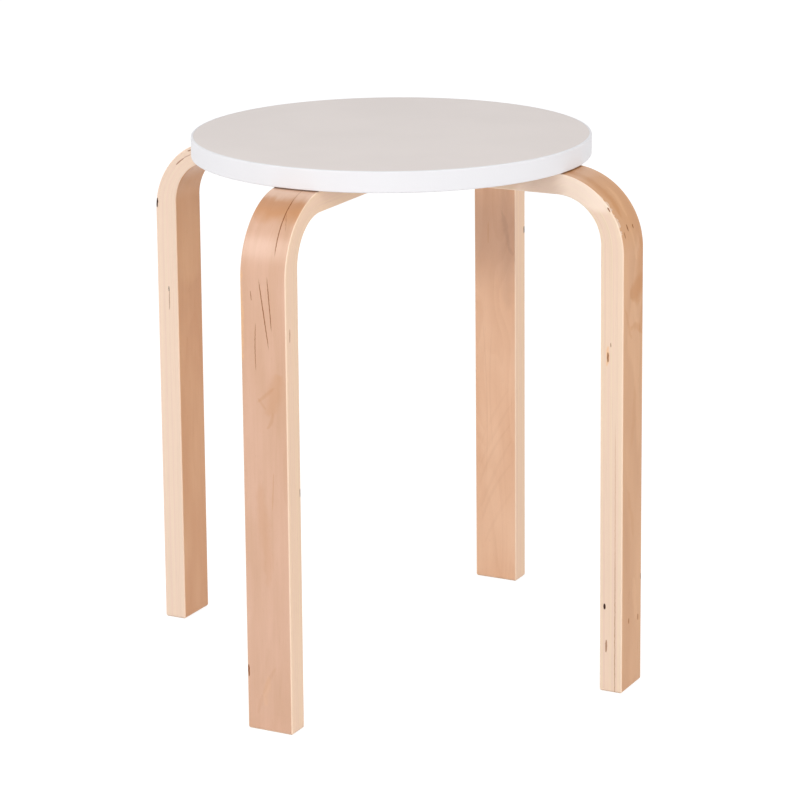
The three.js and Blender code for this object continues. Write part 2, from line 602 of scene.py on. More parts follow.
@dataclass(frozen=True)
class SheetFinish(CloudedFinish):
    """Satin white sheet with a fine pressed texture, as on the seat's faces and its edge band."""

    cloud: Layer = Layer((9.0, 9.0, 9.0), detail=3.0)
    grain: Layer = Layer((900.0, 900.0, 900.0))
    roughness: float = 0.48
    roughness_spread: float = 0.1
    relief: float = 0.02 * MM
    relief_strength: float = 0.35
    specular: float = 0.2
    metallic: float = 0.0


@dataclass(frozen=True)
class PlatedFinish(CloudedFinish):
    """Zinc-plated steel: fine satin grain with faint cloudy tarnish."""

    cloud: Layer = Layer((260.0, 260.0, 260.0), detail=3.0)
    grain: Layer = Layer((2600.0, 2600.0, 2600.0), detail=1.0)
    roughness: float = 0.34
    roughness_spread: float = 0.16
    relief: float = 0.01 * MM
    relief_strength: float = 0.3
    specular: float = 0.5
    metallic: float = 1.0


@dataclass(frozen=True)
class BoardFinish:
    """Raw pressed board of small chips, hidden inside the seat."""

    light: Colour = tone(205, 178, 140)
    dark: Colour = tone(150, 118, 84)
    chip_scale: float = 420.0
    roughness: float = 0.85
    relief: float = 0.2 * MM
    relief_strength: float = 0.5

    def material(self, name: str) -> Material:
        """Makes the material: cells of differing brown, like pressed chips.

        Args:
            name: the material's name.

        Returns:
            The material.
        """
        shader = Shader(name)
        chips = shader.add("ShaderNodeTexVoronoi", {"Vector": shader.place(), "Scale": self.chip_scale})
        tint = shader.split(chips.outputs["Color"])[0]
        return shader.finish(
            base_color=shader.mix(tint, self.dark, self.light),
            roughness=self.roughness,
            normal=shader.bump(tint, self.relief_strength, self.relief),
        )


@dataclass(frozen=True)
class GrainMark:
    """One mark on the veneer, a stroke that is widest at its middle and fades to both ends; some marks are
    painted light and painted shade.

    Its lengths are in millimetres. Start and end give how far along the grain the stroke reaches from
    the foot, and how far across: from the middle of the leg on its wide faces, and from the outer face
    on its sides. The core is the share of its width that has the full tint, so a mark of large core has
    a crisp edge.
    """

    face: LegFace
    kind: MarkKind
    start: Pair
    end: Pair
    width: float
    strength: float
    bow: float = 0.0
    core: float = 0.2


@dataclass(frozen=True)
class TornEdge:
    """A stretch where the face veneer has chipped away along one of its edges."""

    side: float
    start: float
    end: float
    reach: float


@dataclass(frozen=True)
class LegGrain:
    """What tells one leg's veneers from another's."""

    seed: float
    face_light: Colour
    face_dark: Colour
    side: Colour
    side_pink: Colour
    figure_bands: float
    figure_strength: float
    marks: tuple[GrainMark, ...]
    torn: TornEdge | None = None
    # Shares of the eased edges' pale wood and painted highlight on each side, low where an edge faces away
    # from the light.
    eased_left: float = 0.85
    eased_right: float = 0.85


@dataclass(frozen=True)
class BentwoodFinish:
    """Clear-lacquered birch veneers glued in a stack, with their grain running along the bent leg.

    The patterns are laid out on the unbent leg, so that they follow the bend: across the leg, through
    its thickness from the outer face, and along the grain from the foot, all in metres. A range is the
    two values between which a pattern takes effect.
    """

    width: float = 40.5 * MM
    thickness: float = 20 * MM
    plies: int = 13

    figure: Layer = Layer((30.0, 30.0, 5.0), detail=1.0, bend=0.25)
    contour_rise: float = 0.16
    contour_fall: float = 0.1
    cloud: Layer = Layer((60.0, 60.0, 14.0), shift=3.7)
    patch: Layer = Layer((26.0, 26.0, 9.0), detail=1.0, shift=6.3)
    streak: Layer = Layer((330.0, 330.0, 6.0), detail=3.0)
    fibre: Layer = Layer((1900.0, 1900.0, 45.0))
    cloud_share: float = 0.8
    patch_share: float = 1.0
    streak_share: float = 0.35
    fibre_share: float = 0.12
    pore: Colour = tone(186, 134, 100)
    pores: Layer = Layer((2600.0, 2600.0, 150.0), detail=0.0, shift=9.1)
    pore_range: Pair = (0.68, 0.76)
    pore_strength: float = 0.12

    drift: Layer = Layer((150.0, 700.0, 5.0), detail=1.0, shift=2.2)
    drift_share: float = 1.6
    side_streak_share: float = 0.1
    side_fibre_share: float = 0.07
    glue: Colour = tone(206, 160, 130)
    glue_share: float = 0.09
    glue_shift: float = 40.0
    glue_range: Pair = (0.6, 1.0)
    glue_fade: Layer = Layer((0.0, 900.0, 14.0), detail=1.0)
    glue_fade_range: Pair = (0.3, 0.6)
    glue_strength: float = 0.45

    eased_edge: float = 1.2 * MM
    # Paler sanded wood on the eased edges, made lighter still as a painted highlight.
    eased: Colour = tone(255, 226, 200)
    face_sink: float = 0.3 * MM
    face_crispness: float = 0.4
    edge: Layer = Layer((300.0, 300.0, 90.0))
    edge_wander: float = 0.12 * MM
    ragged: Layer = Layer((0.0, 0.0, 260.0), detail=3.0, shift=1.3)
    ragged_range: Pair = (0.42, 0.6)
    torn_blur: float = 0.4 * MM
    torn_rest: float = 0.3
    torn_depth: float = 1 * MM

    end_light: Colour = tone(222, 184, 142)
    end_dark: Colour = tone(176, 128, 86)
    end_depth: float = 1.6 * MM
    end_pores: Layer = Layer((2400.0, 2400.0, 2400.0))
    end_pore_range: Pair = (0.35, 0.62)
    end_line_strength: float = 0.6
    end_roughness: float = 0.3

    fine: Layer = Layer((420.0, 420.0, 420.0))
    fine_reach: float = 0.8 * MM
    coarse: Layer = Layer((85.0, 85.0, 85.0))
    coarse_reach: float = 9 * MM
    feather: float = 5 * MM
    stroke_fade: float = 0.4
    mask_depth: float = 0.6 * MM
    mask_inset: float = 1.2 * MM
    mark_roughness: float = 0.6
    mark_depth: float = 0.5

    roughness: float = 0.29
    roughness_spread: float = 0.08
    specular: float = 0.55
    relief: float = 0.05 * MM
    relief_strength: float = 0.25

    def material(self, name: str, grain: LegGrain) -> Material:
        """Makes the material of one leg from that leg's own veneers and marks."""
        return LegShader(name, self, grain).dress()


class LegShader(Shader):
    """Node tree of one leg's wood, whose parts share the unbent place, the streaks and the fibres."""

    def __init__(self, name: str, wood: BentwoodFinish, grain: LegGrain) -> None:
        """Starts the tree with what its parts share.

        Args:
            name: the material's name.
            wood: the finish of all legs.
            grain: that leg's own veneers and marks.
        """
        super().__init__(name)
        self.wood = wood
        self.grain = grain
        self.unbent = self.attribute(UNBENT, "Vector")
        self.across, self.depth, self.along = self.split(self.unbent)
        self.streaks = self.pattern(wood.streak)
        self.fibres = self.pattern(wood.fibre)
        self.ply = self.times(self.depth, wood.plies / wood.thickness)
        self.sink = self.math("SUBTRACT", wood.thickness / 2, self.apart(self.depth, wood.thickness / 2))

    def pattern(self, layer: Layer) -> Socket:
        """Lays random patches over the unbent leg, by the leg's own seed."""
        return self.noise(self.unbent, layer, self.grain.seed)

    def dress(self) -> Material:
        """Lays the leg's colours over each other and sets gloss and relief.

        Returns:
            The material.
        """
        wood = self.wood
        colour = self.mix(self.facing(), self.narrow_faces(), self.wide_faces())
        # Eased edges: paler sanded wood with a painted highlight.
        colour = self.mix(self.eased_edges(), colour, wood.eased)
        colour, cracks = self.marks(colour)
        cut = self.step(self.attribute(FROM_END, "Fac"), wood.end_depth, 0.0)
        colour = self.mix(cut, colour, self.cut_ends())
        roughness = self.uneven(self.fibres, wood.roughness, wood.roughness_spread)
        roughness = self.math("MULTIPLY_ADD", cut, wood.end_roughness, roughness)
        roughness = self.math("MULTIPLY_ADD", cracks, wood.mark_roughness, roughness, clamp=True)
        relief = self.math("MULTIPLY_ADD", cracks, -wood.mark_depth, self.fibres)
        return self.finish(
            base_color=colour,
            roughness=roughness,
            normal=self.bump(relief, wood.relief_strength, wood.relief),
            specular_ior_level=wood.specular,
        )

    def wide_faces(self) -> Socket:
        """Colours the face veneers: arched contours of a soft field, drifting clouds, streaks and pores.

        A contour's tone is the share of the way from one contour to the next, rising fast and falling
        slowly, as in veneer that is peeled off a turning log.

        Returns:
            The colour.
        """
        wood, grain = self.wood, self.grain
        way = self.math("FRACT", self.times(self.pattern(wood.figure), grain.figure_bands))
        contour = self.times(self.step(way, 0.0, wood.contour_rise), self.step(way, 1.0, wood.contour_fall))
        level = self.sway(contour, -grain.figure_strength, 0.5)
        level = self.sway(self.pattern(wood.cloud), wood.cloud_share, level)
        level = self.sway(self.pattern(wood.patch), wood.patch_share, level)
        level = self.sway(self.streaks, wood.streak_share, level)
        level = self.sway(self.fibres, wood.fibre_share, level)
        colour = self.mix(level, grain.face_dark, grain.face_light)
        pores = self.step(self.pattern(wood.pores), *wood.pore_range)
        return self.mix(self.times(pores, wood.pore_strength), colour, wood.pore)

    def narrow_faces(self) -> Socket:
        """Colours the sides: each ply has its own tint and streaks, and here and there a glue line shows.

        Returns:
            The colour.
        """
        wood, grain = self.wood, self.grain
        tint = self.chance(self.math("ADD", self.math("FLOOR", self.ply), grain.seed))
        share = self.sway(self.pattern(wood.drift), wood.drift_share, tint)
        colour = self.mix(share, grain.side, grain.side_pink)
        level = self.sway(self.streaks, wood.side_streak_share, 1.0)
        level = self.sway(self.fibres, wood.side_fibre_share, level)
        colour = self.mix(1.0, colour, self.join(level, level, level), blend="MULTIPLY")
        joint = self.math("ROUND", self.ply)
        line = self.step(self.apart(self.ply, joint), wood.glue_share, 0.0)
        shown = self.chance(self.math("ADD", joint, grain.seed + wood.glue_shift))
        line = self.times(line, self.step(shown, *wood.glue_range))
        fade = self.step(self.pattern(wood.glue_fade), *wood.glue_fade_range)
        return self.mix(self.times(line, self.times(fade, wood.glue_strength)), colour, wood.glue)

    def eased_edges(self) -> Socket:
        """Finds the eased long edges, where sanding bares paler wood and a painted highlight lies on it, on
        the left or the right or both.

        Returns:
            How much of the paler wood and its painted highlight shows, from 0 to 1.
        """
        ease, grain = self.wood.eased_edge, self.grain
        from_side = self.math("SUBTRACT", self.wood.width / 2, self.math("ABSOLUTE", self.across))
        near = self.step(self.math("MAXIMUM", from_side, self.sink), ease, ease / 2)
        return self.times(near, self.step(self.across, -ease, ease, grain.eased_left, grain.eased_right))

    def cut_ends(self) -> Socket:
        """Colours the sawn ends: open pores in each ply, darker than the sides.

        Returns:
            The colour.
        """
        wood, middle = self.wood, 0.5
        pores = self.step(self.pattern(wood.end_pores), *wood.end_pore_range)
        colour = self.mix(pores, wood.end_dark, wood.end_light)
        line = self.step(self.apart(self.math("FRACT", self.ply), middle), middle - wood.glue_share, middle)
        return self.mix(self.times(line, wood.end_line_strength), colour, wood.end_dark)

    def facing(self) -> Socket:
        """Tells the wide faces from the rest.

        Returns:
            1 on the wide faces, 0 from a hair's depth below them or where their veneer is torn.
        """
        wood, torn = self.wood, self.grain.torn
        sink = self.sway(self.pattern(wood.edge), 2 * wood.edge_wander, self.sink)
        facing = self.step(sink, wood.face_sink, wood.face_crispness * wood.face_sink)
        if torn is None:
            return facing
        span = torn.end - torn.start
        window = self.step(self.apart(self.along, (torn.start + torn.end) / 2), span / 2, span / 6)
        bite = self.times(self.step(self.pattern(wood.ragged), *wood.ragged_range), torn.reach)
        from_edge = self.math("MULTIPLY_ADD", self.across, -torn.side, wood.width / 2)
        left = self.math("SUBTRACT", from_edge, self.times(bite, window))
        whole = self.step(left, 0.0, wood.torn_blur, wood.torn_rest, 1.0)
        half = wood.thickness / 2
        inner = self.step(self.depth, half, half + wood.torn_depth)
        return self.times(facing, self.math("MAXIMUM", whole, inner))

    def marks(self, colour: Socket) -> tuple[Socket, Value]:
        """Lays the leg's own marks over its colour, the painted light and painted shade among them.

        Args:
            colour: the colour under the marks.

        Returns:
            The colour with the marks, and how deep the open ones cut, from 0 to 1.
        """
        wood = self.wood
        fine = self.wander(wood.fine, wood.fine_reach)
        coarse = self.wander(wood.coarse, wood.coarse_reach)
        feathered = self.math("ADD", self.along, self.sway(self.streaks, wood.feather, coarse))
        places = {}
        for wide, level in ((True, self.across), (False, self.depth)):
            for broad, shift in ((True, coarse), (False, fine)):
                along = feathered if wide and broad else self.along
                places[wide, broad] = self.join(along, self.math("ADD", level, shift), 0.0)
        near, edge = wood.mask_depth, wood.width / 2 - wood.mask_inset
        masks = {
            LegFace.OUTER: self.step(self.depth, near, near / 2),
            LegFace.INNER: self.step(self.depth, wood.thickness - near, wood.thickness - near / 2),
            LegFace.RIGHT_SIDE: self.step(self.across, edge, edge + near),
            LegFace.LEFT_SIDE: self.step(self.across, -edge, -edge - near),
        }
        deep: Value = 0.0
        for mark in self.grain.marks:
            stroke = self.stroke(places[mark.face.wide, mark.kind.broad], mark)
            stroke = self.times(stroke, masks[mark.face])
            colour = self.mix(self.times(stroke, mark.strength), colour, mark.kind.value)
            if mark.kind.cuts:
                deep = self.math("MAXIMUM", deep, stroke)
        return colour, deep

    def wander(self, layer: Layer, reach: float) -> Socket:
        """Adds a random shift, so that marks don't run dead straight.

        Args:
            layer: the pattern that the shift follows.
            reach: how far the shift goes in all.

        Returns:
            The shift.
        """
        place = self.join(self.along, self.across, self.depth)
        return self.sway(self.noise(place, layer, self.grain.seed), reach)

    def stroke(self, place: Socket, mark: GrainMark) -> Socket:
        """Draws one mark.

        The place's share t of the way from start to end gives the swell 4 t (1 - t), which is 1 at the
        middle and 0 at both ends. The stroke's line is shifted sideways by the bow times the swell, and
        its half width is the mark's half width times the root of the swell.

        Args:
            place: how far along and across the point is.
            mark: the mark.

        Returns:
            1 on the stroke's line, 0 outside it.
        """
        least_half = 1e-6
        start = Vector((*mark.start, 0.0)) * MM
        way = Vector((*mark.end, 0.0)) * MM - start
        along = way / way.length
        offset = self.vector("SUBTRACT", place, tuple(start))
        share = self.math("DIVIDE", self.vector("DOT_PRODUCT", offset, tuple(along)), way.length)
        side = self.vector("DOT_PRODUCT", offset, (-along.y, along.x, 0.0))
        swell = self.times(share, self.math("SUBTRACT", 1.0, share))
        swell = self.math("MULTIPLY", swell, 4.0, clamp=True)
        line = self.math("MULTIPLY_ADD", swell, -mark.bow * MM, side)
        half = self.times(self.math("SQRT", swell), mark.width * MM / 2)
        reach = self.math("DIVIDE", self.math("ABSOLUTE", line), self.math("ADD", half, least_half))
        return self.times(self.step(reach, 1.0, mark.core), self.step(swell, 0.0, self.wood.stroke_fade))


# Seat


@dataclass
class Seat:
    """Round seat: a top sheet, an under sheet and a band round both and the board between them."""

    radius: float
    underside: float
    top: float
    sheet: float
    hole_radius: float
    hole_centres: list[Vector]
    band: float = 2 * MM
    edge_radius: float = 1.2 * MM
    edge_steps: int = 8
    sharp_angle: float = 60.0
    seam: float = 0.05 * MM
    sheet_ease: float = 0.1 * MM
    sheet_steps: int = 3
    sheet_rings: int = 12
    segments: int = 256
    hole_segments: int = 48
    overrun: float = 1 * MM

    @classmethod
    def from_frame(cls) -> "Seat":
        """Reads the seat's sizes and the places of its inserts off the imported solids.

        Returns:
            The seat.
        """
        band_low, band_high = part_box("seat_edge_band")
        sheet_low, sheet_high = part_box("seat_top_laminate")
        numbers = FASTENER_NUMBERS
        inserts = [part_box(f"insert_{place.word}_{number}") for place in LegPlace for number in numbers]
        low, high = inserts[0]
        clearance = 0.3 * MM
        return cls(
            radius=band_high.x,
            underside=band_low.z,
            top=band_high.z,
            sheet=sheet_high.z - sheet_low.z,
            hole_radius=(high.x - low.x) / 2 + clearance,
            hole_centres=[(corner + other) / 2 for corner, other in inserts],
        )

    def _sheet_mesh(self, name: str, low: float, high: float) -> Mesh:
        """Makes a round sheet between two heights, its rim eased and its faces in rings.

        The profile runs from the middle of the lower face out to the rim, up and back to the middle.

        Args:
            name: the mesh's name.
            low, high: the heights of its faces.

        Returns:
            The mesh.
        """
        edge = self.radius - self.band - self.seam
        flat = np.linspace(0.0, edge - self.sheet_ease, self.sheet_rings + 1)
        profile = [(r, low) for r in flat[:-1]]
        profile += rounded_side(edge, low, high, self.sheet_ease, self.sheet_steps)
        profile += [(r, high) for r in flat[-2::-1]]
        return turned_mesh(name, *round_profile(profile, self.segments))

    def build_top(self) -> Piece:
        """Makes the sheet that is sat on."""
        mesh = self._sheet_mesh("seat_top", self.top - self.sheet, self.top)
        return crisp_normals(add_object("seat_top", mesh))

    def build_under(self) -> Piece:
        """Makes the sheet under the board, with the holes that the inserts stand in.

        Returns:
            The sheet's object.
        """
        low, high = self.underside, self.underside + self.sheet
        made = add_object("seat_under", self._sheet_mesh("seat_under", low, high))
        start, end, radius = low - self.overrun, high + self.overrun, self.hole_radius
        column = round_profile([(0.0, start), (radius, start), (radius, end), (0.0, end)], self.hole_segments)
        drill(made, [turned_mesh("hole", *column, centre) for centre in self.hole_centres])
        return crisp_normals(made)

    def build_rim(self) -> Piece:
        """Makes the band: a looped profile with its two outer corners rounded.

        Returns:
            The band's object.
        """
        inner, low, high = self.radius - self.band, self.underside, self.top
        side = rounded_side(self.radius, low, high, self.edge_radius, self.edge_steps)
        profile = round_profile([(inner, low), *side, (inner, high)], self.segments)
        made = add_object("seat_rim", turned_mesh("seat_rim", *profile, looped=True))
        return crisp_normals(made, self.sharp_angle)

    def dress(self) -> None:
        """Builds the seat's pieces and gives each its finish."""
        sheet = SheetFinish(tone(229, 220, 216), tone(226, 217, 213)).material("white_sheet")
        fine_grain = Layer((1400.0, 1400.0, 1400.0))
        band = SheetFinish(tone(239, 238, 241), tone(237, 236, 239), grain=fine_grain, specular=0.12)
        fit_out(self.build_top(), sheet, ["seat_top_laminate"])
        fit_out(self.build_under(), sheet, ["seat_under_laminate"])
        fit_out(self.build_rim(), band.material("white_band"), ["seat_edge_band"])


# Legs


@dataclass
class BentLeg:
    """L-shaped leg of glued veneers: an arm under the seat, a bend and a leaning leg.

    A layer of the stack lies at a share of its thickness, 0 on the outer face and 1 on the inner one.
    Every layer is a leaning line, an arc and a level line, each touching the next.
    """

    place: LegPlace
    top: float
    foot_reach: float
    arm_end: float
    width: float
    leg_thickness: float = 20 * MM
    arm_thickness: float = 17.5 * MM
    outer_radius: float = 63 * MM
    inner_radius: float = 38.5 * MM
    splay: float = 3 * MM
    splay_height: float = 450 * MM
    edge_radius: float = 1.3 * MM
    foot_radius: float = 2.2 * MM
    arm_end_radius: float = 1.5 * MM
    least_radius: float = 0.2 * MM
    counterbore_radius: float = 7.3 * MM
    hole_radius: float = 3.3 * MM
    mouth_ease: float = 0.3 * MM
    overrun: float = 1 * MM
    leg_steps: int = 16
    bend_steps: int = 56
    arm_steps: int = 6
    corner_steps: int = 5
    end_steps: int = 5
    hole_segments: int = 64

    @classmethod
    def from_frame(cls, place: LegPlace) -> "BentLeg":
        """Reads the leg's reach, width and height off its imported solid.

        Args:
            place: where it stands.

        Returns:
            The leg.
        """
        low, high = (np.array(corner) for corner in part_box(f"leg_{place.word}"))
        reach = sorted((low @ place.outward, high @ place.outward))
        width = abs((high - low) @ place.sideways)
        return cls(place=place, top=high[2], foot_reach=reach[1], arm_end=reach[0], width=width)

    @property
    def slope(self) -> float:
        """How much further out the leg stands for each metre down."""
        return self.splay / self.splay_height

    @property
    def lean(self) -> float:
        """The leg's lean from upright, in radians."""
        return math.atan(self.slope)

    def bend(self, share: Array | float) -> tuple[Array | float, ...]:
        """Finds the bend of a layer.

        Its arc touches the layer's level line above it and the layer's leaning line outside it, so its
        centre lies one radius under the level line, and one radius, measured square to the leaning
        line, inside that line.

        Args:
            share: how deep the layers lie in the stack.

        Returns:
            The distance of the arc's centre from the seat's centre line, its height and its radius.
        """
        radius = self.outer_radius + share * (self.inner_radius - self.outer_radius)
        height = self.top - share * self.arm_thickness - radius
        face_at_floor = self.foot_reach - share * self.leg_thickness
        reach = face_at_floor - self.slope * height - radius / math.cos(self.lean)
        return reach, height, radius

    def layer(self, share: Array, station: Array) -> tuple[Array, Array]:
        """Finds points of a layer.

        Stations run from 0 at the floor to 1 where the bend starts, 2 where it ends and 3 at the cut end
        of the arm. Between whole stations a point moves in a straight line, or by its angle in the bend.

        Args:
            share: how deep the layers lie in the stack.
            station: where the points lie along the leg.

        Returns:
            The points' distances from the seat's centre line and their heights.
        """
        reach, height, radius = self.bend(share)
        angle = self.lean + (math.pi / 2 - self.lean) * np.clip(station - 1, 0, 1)
        out = reach + radius * np.cos(angle)
        up = height + radius * np.sin(angle)
        foot = self.foot_reach - share * self.leg_thickness
        down = np.clip(1 - station, 0, 1)
        inwards = np.clip(station - 2, 0, 1)
        out = out + down * (foot - out) + inwards * (self.arm_end - out)
        return out, up - down * up

    def unbend(self, points: Array) -> tuple[Array, Array]:
        """Lays points of the bent leg out on the straight stack of veneers.

        The share of a point in the leg is its level distance from the outer face over the thickness, and
        in the arm its depth under the top over the thickness. In the bend it is the share whose arc
        passes through the point: centre and radius run evenly with the share, which gives the equation
        a s^2 + b s + c = 0. The distance along the grain is the height over the cosine of the lean, then
        the arc's length, then the level distance.

        Args:
            points: an array of three coordinates a point, in the stool's frame.

        Returns:
            The unbent places, across, through and along, and the distances from the nearer cut end.
        """
        out, across, up = points @ self.place.outward, points @ self.place.sideways, points[:, 2]
        in_leg = (self.foot_reach - self.slope * up - out) / self.leg_thickness
        in_arm = (self.top - up) / self.arm_thickness
        first = np.array(self.bend(0.0))
        change = np.array(self.bend(1.0)) - first
        offset = np.stack([out - first[0], up - first[1]], axis=1)
        a = change[:2] @ change[:2] - change[2] ** 2
        b = -2 * (offset @ change[:2] + first[2] * change[2])
        c = (offset**2).sum(axis=1) - first[2] ** 2
        in_bend = (-b + np.sqrt(np.maximum(b * b - 4 * a * c, 0))) / (2 * a)

        _, height, radius = self.bend(in_leg)
        below = up < height + radius * math.sin(self.lean)
        beyond = out < self.bend(in_arm)[0]
        share = np.clip(np.where(below, in_leg, np.where(beyond, in_arm, in_bend)), 0, 1)
        reach, height, radius = self.bend(share)
        turned = np.clip(np.arctan2(up - height, out - reach), self.lean, math.pi / 2) - self.lean
        straight = (height + radius * math.sin(self.lean)) / math.cos(self.lean)
        quarter = radius * (math.pi / 2 - self.lean)
        along = np.where(below, up / math.cos(self.lean), straight + radius * turned)
        along = np.where(beyond & ~below, straight + quarter + reach - out, along)
        total = straight + quarter + reach - self.arm_end
        unbent = np.stack([across, share * self.leg_thickness, along], axis=1)
        return unbent, np.minimum(along, total - along)

    def _section(self, thickness: Array, inset: Array) -> tuple[Array, Array]:
        """Draws the leg's rounded rectangle at each station.

        Each corner is an arc of the edge radius less the inset, whose centre lies one edge radius in
        from both faces, or further in where the inset is larger. The corners follow each other round.

        Args:
            thickness: the stack's thickness at each station.
            inset: how far the outline is drawn in at each station, as near a rounded end.

        Returns:
            The points across the leg and their depths under the outer face, one row a station.
        """
        turn = np.linspace(0, np.pi / 2, self.corner_steps + 1)
        corner = np.repeat(np.arange(4), len(turn))
        angle = np.tile(turn, 4) + corner * np.pi / 2
        radius = np.maximum(self.edge_radius - inset, self.least_radius)[:, None]
        half_width = self.width / 2 - inset[:, None] - radius
        half_depth = thickness[:, None] / 2 - inset[:, None] - radius
        across_sign = np.where((corner == 0) | (corner == 3), 1.0, -1.0)
        depth_sign = np.where(corner < 2, 1.0, -1.0)
        across = across_sign * half_width + radius * np.cos(angle)
        depth = thickness[:, None] / 2 + depth_sign * half_depth + radius * np.sin(angle)
        return across, depth

    def _stations(self) -> tuple[Array, Array]:
        """Lists where the sections stand, and how far each is drawn in.

        At both cut ends the edge is rounded: an angle a from 0 to a right angle gives a distance
        r (1 - cos a) from the end and an inset r (1 - sin a).

        Returns:
            The stations and their insets.
        """
        turn = np.linspace(0, np.pi / 2, self.end_steps + 1)
        reach, bend_height, _ = self.bend(0.0)
        foot = self.foot_radius * (1 - np.cos(turn)) / bend_height
        end = 3 - (self.arm_end_radius * (1 - np.cos(turn)) / (reach - self.arm_end))[::-1]
        leg = np.linspace(foot[-1], 1, self.leg_steps + 1)[1:]
        bend = np.linspace(1, 2, self.bend_steps + 1)[1:]
        arm = np.linspace(2, end[0], self.arm_steps + 1)[1:-1]
        station = np.concatenate([foot, leg, bend, arm, end])
        inset = np.zeros(len(station))
        inset[: len(turn)] = self.foot_radius * (1 - np.sin(turn))
        inset[-len(turn) :] = (self.arm_end_radius * (1 - np.sin(turn)))[::-1]
        return station, inset

    def build(self, bolts: Sequence["Bolt"]) -> Piece:
        """Makes the leg.

        Each station has a section from the outer face to the inner one. A point of it stands at its
        depth on the way between the two faces, and across the leg by its own distance. Flat faces
        close both ends, and then the bolts' holes are drilled from below.

        Args:
            bolts: the bolts that pass through the arm.

        Returns:
            The leg's object, with the unbent places of its points as attributes.
        """
        station, inset = self._stations()
        outer = np.stack(self.layer(np.zeros_like(station), station), axis=1)
        inner = np.stack(self.layer(np.ones_like(station), station), axis=1)
        thickness = np.linalg.norm(inner - outer, axis=1)
        across, depth = self._section(thickness, inset)
        share = (depth / thickness[:, None])[..., None]
        flat = outer[:, None, :] + share * (inner - outer)[:, None, :]
        points = flat[..., :1] * self.place.outward + across[..., None] * self.place.sideways
        points[..., 2] = flat[..., 1]
        rows, columns = across.shape
        faces = ring_faces(rows, columns, looped=False).tolist()
        faces += [list(range(columns)), list(range((rows - 1) * columns, rows * columns))]
        name = f"{self.place.word}_leg"
        made = add_object(name, solid_mesh(name, points, faces))
        drill(made, [self._hole(bolt) for bolt in bolts])
        crisp_normals(made)
        self._lay_out_grain(made.data)
        return made

    def _hole(self, bolt: "Bolt") -> Mesh:
        """Makes the cutter of one bolt's stepped hole, its mouth eased.

        Args:
            bolt: the bolt.

        Returns:
            The cutter's mesh.
        """
        low, wide = self.top - self.arm_thickness, self.counterbore_radius
        start, end = low - self.overrun, self.top + self.overrun
        profile = [
            (0.0, start),
            (wide + self.mouth_ease + self.overrun, start),
            (wide, low + self.mouth_ease),
            (wide, bolt.washer_top),
            (self.hole_radius, bolt.washer_top),
            (self.hole_radius, end),
            (0.0, end),
        ]
        return turned_mesh("hole", *round_profile(profile, self.hole_segments), bolt.centre)

    def _lay_out_grain(self, mesh: Mesh) -> None:
        """Writes each point's place on the unbent leg into the mesh.

        Args:
            mesh: the leg's mesh.
        """
        places = np.empty(len(mesh.vertices) * 3, np.float32)
        mesh.vertices.foreach_get("co", places)
        unbent, from_end = self.unbend(places.reshape(-1, 3).astype(float))
        for name, kind, key, values in (
            (UNBENT, "FLOAT_VECTOR", "vector", unbent),
            (FROM_END, "FLOAT", "value", from_end),
        ):
            attribute = mesh.attributes.new(name, kind, "POINT")
            attribute.data.foreach_set(key, values.astype(np.float32).ravel())


def strokes(face: LegFace, kind: MarkKind, *rows: Sequence[float]) -> tuple[GrainMark, ...]:
    """Lists marks of one kind on one face.

    Args:
        face: the face that they lie on.
        kind: their kind.
        *rows: for each mark the two numbers of its start, the two of its end, its width and its strength,
            and then its bow and its core where it has its own.

    Returns:
        The marks, in the rows' order.
    """
    return tuple(GrainMark(face, kind, row[:2], row[2:4], *row[4:]) for row in rows)


def arches(
    face: LegFace, foot: float, gaps: Sequence[float], middle: float, rise: float, strength: float
) -> tuple[GrainMark, ...]:
    """Lists nested arches of figure, as in veneer that is peeled through a bulge of the log.

    Each arch is a stroke across the face whose bow carries its middle up the grain. The next one
    starts a gap further up, is a little narrower and rises a little less. Every third one is fainter,
    and every second one thicker.

    Args:
        face: the face that the arches lie on.
        foot: how far from the foot the lowest arch starts.
        gaps: how far each following arch starts above the one before.
        middle: how far across the face their peaks lie.
        rise: the bow of the lowest arch.
        strength: how strongly most of them are tinted.

    Returns:
        The arches' marks, from the lowest up.
    """
    widest, shrink, thick, thicker, faint = 25.0, 0.95, 7.0, 2.0, 0.6
    start, reach, bow = foot, widest, rise
    rows = []
    for number, gap in enumerate((0.0, *gaps)):
        start += gap
        shown = strength * (1.0 if number % 3 else faint)
        rows.append((start, middle - reach, start, middle + reach, thick + number % 2 * thicker, shown, -bow))
        reach, bow = reach * shrink, bow * shrink
    return strokes(face, MarkKind.FIGURE, *rows)


def seam_painted_light_and_shade(pale: float, dark: float) -> tuple[GrainMark, ...]:
    """Lists the painted light and painted shade on a leg's outer face under the seat's rim.

    Args:
        pale: how strongly painted light lightens the strip below the rim, from 0 to 1.
        dark: how dark the painted shadow in the seam is, from 0 to 1.

    Returns:
        The strip of painted light and the seam's line of painted shadow, each right across the leg.
    """
    return (
        # Painted light: a paler strip that lifts the shade just under the rim.
        *strokes(LegFace.OUTER, MarkKind.PALE, (451, -46, 451, 46, 25, pale)),
        # Painted shadow: the dark line in the gap under the rim, in the fleck tint.
        *strokes(LegFace.OUTER, MarkKind.FLECK, (461, -46, 461, 46, 8, dark)),
    )


